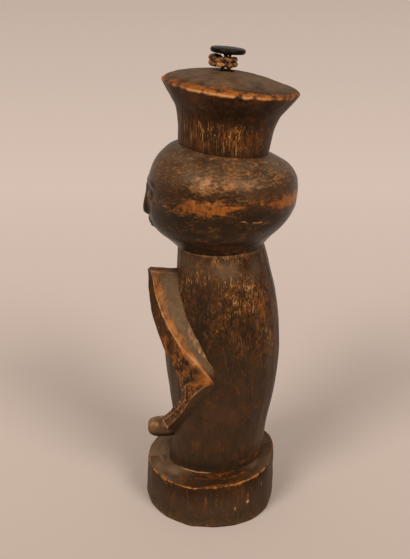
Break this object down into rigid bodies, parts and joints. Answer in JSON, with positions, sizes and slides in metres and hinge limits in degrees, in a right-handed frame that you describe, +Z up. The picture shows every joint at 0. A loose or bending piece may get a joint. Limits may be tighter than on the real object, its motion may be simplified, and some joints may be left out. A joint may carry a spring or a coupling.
{
  "type": "carved figure",
  "caption": "Carved wooden half figure with a flared hat on a round base, with a charge hole in its crown under a tied button and a wound cord",
  "frame": {"origin": "On the ground plane, under the middle of the whole object's bounding box.", "axes": "+Z up. The figure looks along -Y, so its back is toward +Y and its left side is toward +X."},
  "size_m": [0.0628, 0.0672, 0.2086],
  "materials": {
    "carved_wood": "oiled dark patina over orange brown wood, rubbed through on the edges, satin sheen",
    "packed_filling": "matt resinous packed plant matter",
    "fibre_cord": "dry twisted plant fibre, golden brown",
    "fibre_thread": "dry twisted plant fibre, darker brown",
    "dark_button": "near black, half gloss, lightly scratched"
  },
  "bodies": {
    "figure": {"carved_figure": "carved_wood", "charge_filling": "packed_filling", "wound_cord": "fibre_cord"},
    "tie": {"eye_thread": "fibre_thread"},
    "tied_button": {"button": "dark_button"}
  },
  "joints": [
    {"name": "button_turn", "type": "hinge", "parent": "figure", "child": "tie", "pos_m": [0, 0.0032, 0.2], "axis": [0, 0, 1], "range_deg": [-20, 20]},
    {"name": "button_rock", "type": "hinge", "parent": "tie", "child": "tied_button", "pos_m": [0, 0.0032, 0.20456], "axis": [1, 0, 0], "range_deg": [-13, 9]}
  ]
}
